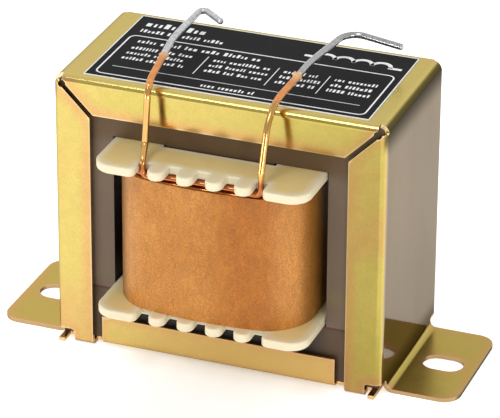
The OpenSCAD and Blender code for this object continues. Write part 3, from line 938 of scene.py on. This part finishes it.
# %% Finishes and sleeves of the leads
DULL_DARK = rgb(0.46, 0.46, 0.47)
DULL_PALE = rgb(0.80, 0.80, 0.81)
SMOOTH_DARK = rgb(0.40, 0.40, 0.40)
SMOOTH_PALE = rgb(0.50, 0.50, 0.50)
BETWEEN_LEADS_X = (-2 * MM, 2 * MM)
SMOOTH_POLISH = -0.22
TIN_DEPTH = 0.02 * MM
BURNT_DARK = rgb(0.56, 0.195, 0.048)
BURNT_PALE = rgb(0.76, 0.310, 0.088)
CRUST_PALE = rgb(0.72, 0.47, 0.25)
CRUST_Y = (-11.2 * MM, -8.6 * MM)
FLAKE_DEPTH = 0.04 * MM


def tin_finish():
    """Dull solder on the left end, brighter on the right."""
    finish, bench, shader = new_finish("tin")
    skin = bench.noise(1300, 4, 0.6)
    dull = bench.ramp(skin, (0.34, DULL_DARK), (0.66, DULL_PALE))
    smooth = bench.ramp(skin, (0.34, SMOOTH_DARK), (0.66, SMOOTH_PALE))
    bright = bench.fade(bench.at("X"), *BETWEEN_LEADS_X)
    bench.plug(bench.mix(bright, dull, smooth), shader.inputs["Base Color"])
    polish = bench.times(bright, SMOOTH_POLISH)
    rough = bench.sum("ADD", bench.fade(skin, 0.3, 0.7, 0.40, 0.52), polish)
    bench.plug(rough, shader.inputs["Roughness"])
    grit = bench.times(skin, bench.fade(bright, 0, 1, 1, 0.2))
    bench.plug(bench.bump(grit, TIN_DEPTH), shader.inputs["Normal"])
    set_values(shader, Metallic=1.0)
    return finish


def scorch_finish():
    """Burnt enamel: matte orange-brown, with a pale crust near the solder."""
    finish, bench, shader = new_finish("scorched_enamel")
    flakes = bench.noise(1100, 4, 0.65)
    burnt = bench.ramp(flakes, (0.3, BURNT_DARK), (0.7, BURNT_PALE))
    crust = bench.fade(bench.at("Y"), *CRUST_Y, 0.0, 0.8)
    bench.plug(bench.mix(crust, burnt, CRUST_PALE), shader.inputs["Base Color"])
    bench.plug(bench.fade(flakes, 0.3, 0.7, 0.40, 0.65), shader.inputs["Roughness"])
    bench.plug(bench.bump(flakes, FLAKE_DEPTH), shader.inputs["Normal"])
    return finish


TIN = tin_finish()
SCORCH = scorch_finish()
for hand, route in (("left", LEFT_LEAD), ("right", RIGHT_LEAD)):
    end_route = beyond(route, TIN_FROM[hand], TIN_DROP)
    burnt_route = stretch_between(route, SCORCH_FROM[hand], TIN_FROM[hand] + SCORCH_PAST)
    bright_route = stretch_between(route, route[0].y, SCORCH_FROM[hand] + SCORCH_PAST)
    zones = {
        "tinned_end": (end_route, solder_radius, TIN),
        "scorched_enamel": (burnt_route, scorch_radius, SCORCH),
        "bright_enamel": (bright_route, bright_radius, COPPER_WIRE),
    }
    for zone, (stretch, radius_at, finish) in zones.items():
        sleeve = add_piece(f"{hand}_{zone}", sweep(stretch, radius_at))
        coat(sleeve, finish)
        print(f"{sleeve.name}: {len(sleeve.data.polygons)} faces")

# %% [markdown]
# ## Label
#
# The label is a black film with white print. Its print here is only what any such label has: a ruled frame
# with round corners, dividers, rows of small blocks where a table would stand, and the drawing symbol for
# a coil. The print could be a picture on the film, but a picture blurs when the camera comes close. Here
# each mark is a very thin plate on the film, built from an outline, so it stays as sharp as the geometry.

# %% Black film
FILM_DARK = rgb(0.006, 0.006, 0.0065)
FILM_PALE = rgb(0.009, 0.009, 0.0095)
CUT_FILM = rgb(0.80, 0.80, 0.80)


def label_finish():
    """Satin black film, white where it was cut."""
    finish, bench, shader = new_finish("label_film")
    fine = bench.noise(2200, 2)
    black = bench.ramp(fine, (0.3, FILM_DARK), (0.7, FILM_PALE))
    cut = bench.fade(bench.faces("Z"), 0.8, 0.5)
    bench.plug(bench.mix(cut, black, CUT_FILM), shader.inputs["Base Color"])
    bench.plug(bench.fade(fine, 0.3, 0.7, 0.38, 0.46), shader.inputs["Roughness"])
    set_values(shader, Specular_IOR_Level=0.04)
    return finish


coat(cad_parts["label"], label_finish())
LABEL_LOW, LABEL_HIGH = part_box("label")
print("label in mm:", [round(v / MM, 2) for v in LABEL_HIGH - LABEL_LOW])

# %% Thin plates of ink
LABEL_MID = (LABEL_LOW + LABEL_HIGH) / 2
INK_T = 0.012 * MM
CORNER_STEPS = 6
HUMP_STEPS = 16


def on_label(point, lift=0.0):
    """A place on the film, from millimetres away from the label's middle."""
    return (LABEL_MID.x + point.x * MM, LABEL_MID.y + point.y * MM, LABEL_HIGH.z + lift)


def round_outline(low, high, radius):
    """Corners of a rectangle with round corners, anticlockwise."""
    corners = [
        (high.x, high.y, -1, -1), (low.x, high.y, 1, -1),
        (low.x, low.y, 1, 1), (high.x, low.y, -1, 1),
    ]
    points = []
    for quarter, (x, y, way_x, way_y) in enumerate(corners):
        centre = Vector((x + way_x * radius, y + way_y * radius))
        for i in range(CORNER_STEPS + 1):
            angle = math.pi / 2 * (quarter + i / CORNER_STEPS)
            points.append(centre + Vector((math.cos(angle), math.sin(angle))) * radius)
    return points


def ink_plate(bm, outline):
    """A thin plate of ink with that outline."""
    face = bm.faces.new([bm.verts.new(on_label(point)) for point in outline])
    lifted = bmesh.ops.extrude_face_region(bm, geom=[face])["geom"]
    moved = [part for part in lifted if isinstance(part, bmesh.types.BMVert)]
    bmesh.ops.translate(bm, verts=moved, vec=(0, 0, INK_T))


def ink_block(bm, x, y, width, height):
    """A square-cornered block of ink, from its lower left corner."""
    corners = ((0, 0), (1, 0), (1, 1), (0, 1))
    ink_plate(bm, [Vector((x + a * width, y + b * height)) for a, b in corners])


def ink_line(bm, points, width, closed=False):
    """A line of ink through points, as one ring or strip."""
    count = len(points)
    bottom, top = [], []
    for i, point in enumerate(points):
        before = points[i - 1] if closed or i > 0 else point
        after = points[(i + 1) % count] if closed or i < count - 1 else point
        way = (after - before).normalized()
        side = Vector((-way.y, way.x)) * width / 2
        for lift, row in ((0.0, bottom), (INK_T, top)):
            row.append([bm.verts.new(on_label(edge, lift)) for edge in (point - side, point + side)])
    for i in range(count if closed else count - 1):
        j = (i + 1) % count
        bm.faces.new((top[i][0], top[j][0], top[j][1], top[i][1]))
        bm.faces.new((bottom[i][1], bottom[j][1], bottom[j][0], bottom[i][0]))
        bm.faces.new((bottom[i][0], bottom[j][0], top[j][0], top[i][0]))
        bm.faces.new((top[i][1], top[j][1], bottom[j][1], bottom[i][1]))
    if not closed:
        bm.faces.new((bottom[0][0], top[0][0], top[0][1], bottom[0][1]))
        bm.faces.new((bottom[-1][1], top[-1][1], top[-1][0], bottom[-1][0]))


print("ink in mm:", round(INK_T / MM, 3))

# %% Rows of blocks and the coil symbol
dice = random.Random(7)
GROUP = (3, 8)
BLOCK_WIDE = (0.22, 0.48)
TALL_SHARE = 0.35
LOW_BLOCK = 0.68
BLOCK_GAP = 0.26
GROUP_GAP = 0.45


def block_row(bm, x, y, width, height):
    """A row of small blocks in groups, as a line of small print looks from a step away."""
    right = x + width
    while x < right - height:
        for _ in range(dice.randint(*GROUP)):
            wide = dice.uniform(*BLOCK_WIDE) * height
            if x + wide > right:
                break
            tall = height * (1.0 if dice.random() < TALL_SHARE else LOW_BLOCK)
            ink_block(bm, x, y, wide, tall)
            x += wide + BLOCK_GAP * height
        x += GROUP_GAP * height


def coil_symbol(bm, x, y, hump, count, width):
    """The drawing symbol for a coil: a row of humps between two straight ends."""
    for k in range(count):
        centre = Vector((x + hump * (2 + 2 * k), y))
        angles = [math.pi * i / HUMP_STEPS for i in range(HUMP_STEPS + 1)]
        ink_line(bm, [centre + Vector((math.cos(a), math.sin(a))) * hump for a in angles], width)
    for start in (x, x + hump * (1 + 2 * count)):
        ink_line(bm, [Vector((start - width / 2, y)), Vector((start + hump + width / 2, y))], width)


print("blocks in a group:", GROUP[0], "to", GROUP[1])

# %% White print
MARGIN = {"inset": Vector((0.15, 0.15)), "round": 0.1, "line": 0.24}
TABLE = {"inset": Vector((1.7, 1.6)), "round": 1.4, "line": 0.32, "top": 5.4}
DIVIDERS_X = (-9.4, 5.2, 15.6)
DIVIDER_Y = (-7.6, 1.0)
DIVIDER_LINE = 0.18
RULE_HALF = 25.2
RULE_Y = -9.6
RULE_LINE = 0.16
HEAD_ROWS = ((-26.5, 10.4, 13.5, 2.2), (-26.5, 7.4, 18.0, 1.4), (-25.0, 2.4, 26.0, 1.5))
COLUMNS = ((-25.0, 13.0), (-7.9, 12.0), (6.6, 8.2), (17.0, 8.6))
COLUMN_ROWS = 3
COLUMN_TOP = -0.8
ROW_DROP = 2.5
ROW_TALL = 1.25
FOOT_ROW = (-6.0, -12.5, 11.0, 1.3)
SYMBOL = {"x": 8.0, "y": 8.6, "hump": 1.9, "count": 4, "width": 0.85}
INK_THIN = rgb(0.80, 0.80, 0.80)
INK_FULL = rgb(0.92, 0.92, 0.92)


def label_print():
    """Every mark on the label as one piece, laid out in millimetres from the label's middle."""
    bm = bmesh.new()
    half = Vector((LABEL_HIGH.x - LABEL_LOW.x, LABEL_HIGH.y - LABEL_LOW.y)) / 2 / MM
    edge = MARGIN["inset"]
    ink_line(bm, round_outline(edge - half, half - edge, MARGIN["round"]), MARGIN["line"], closed=True)
    table_high = Vector((half.x - TABLE["inset"].x, TABLE["top"]))
    table = round_outline(TABLE["inset"] - half, table_high, TABLE["round"])
    ink_line(bm, table, TABLE["line"], closed=True)
    for x in DIVIDERS_X:
        ink_line(bm, [Vector((x, y)) for y in DIVIDER_Y], DIVIDER_LINE)
    ink_line(bm, [Vector((-RULE_HALF, RULE_Y)), Vector((RULE_HALF, RULE_Y))], RULE_LINE)
    for head_row in HEAD_ROWS:
        block_row(bm, *head_row)
    for left, width in COLUMNS:
        for row in range(COLUMN_ROWS):
            block_row(bm, left, COLUMN_TOP - ROW_DROP * row, width, ROW_TALL)
    block_row(bm, *FOOT_ROW)
    coil_symbol(bm, **SYMBOL)
    bmesh.ops.recalc_face_normals(bm, faces=bm.faces)
    return add_piece("label_print", bm)


def ink_finish():
    """White ink, a little thin in places."""
    finish, bench, shader = new_finish("white_ink")
    thin = bench.noise(1600, 3)
    white = bench.ramp(thin, (0.25, INK_THIN), (0.6, INK_FULL))
    bench.plug(white, shader.inputs["Base Color"])
    bench.plug(bench.fade(thin, 0.3, 0.7, 0.45, 0.6), shader.inputs["Roughness"])
    set_values(shader, Specular_IOR_Level=0.2)
    return finish


ink = label_print()
coat(ink, ink_finish())
print("print:", len(ink.data.polygons), "faces")
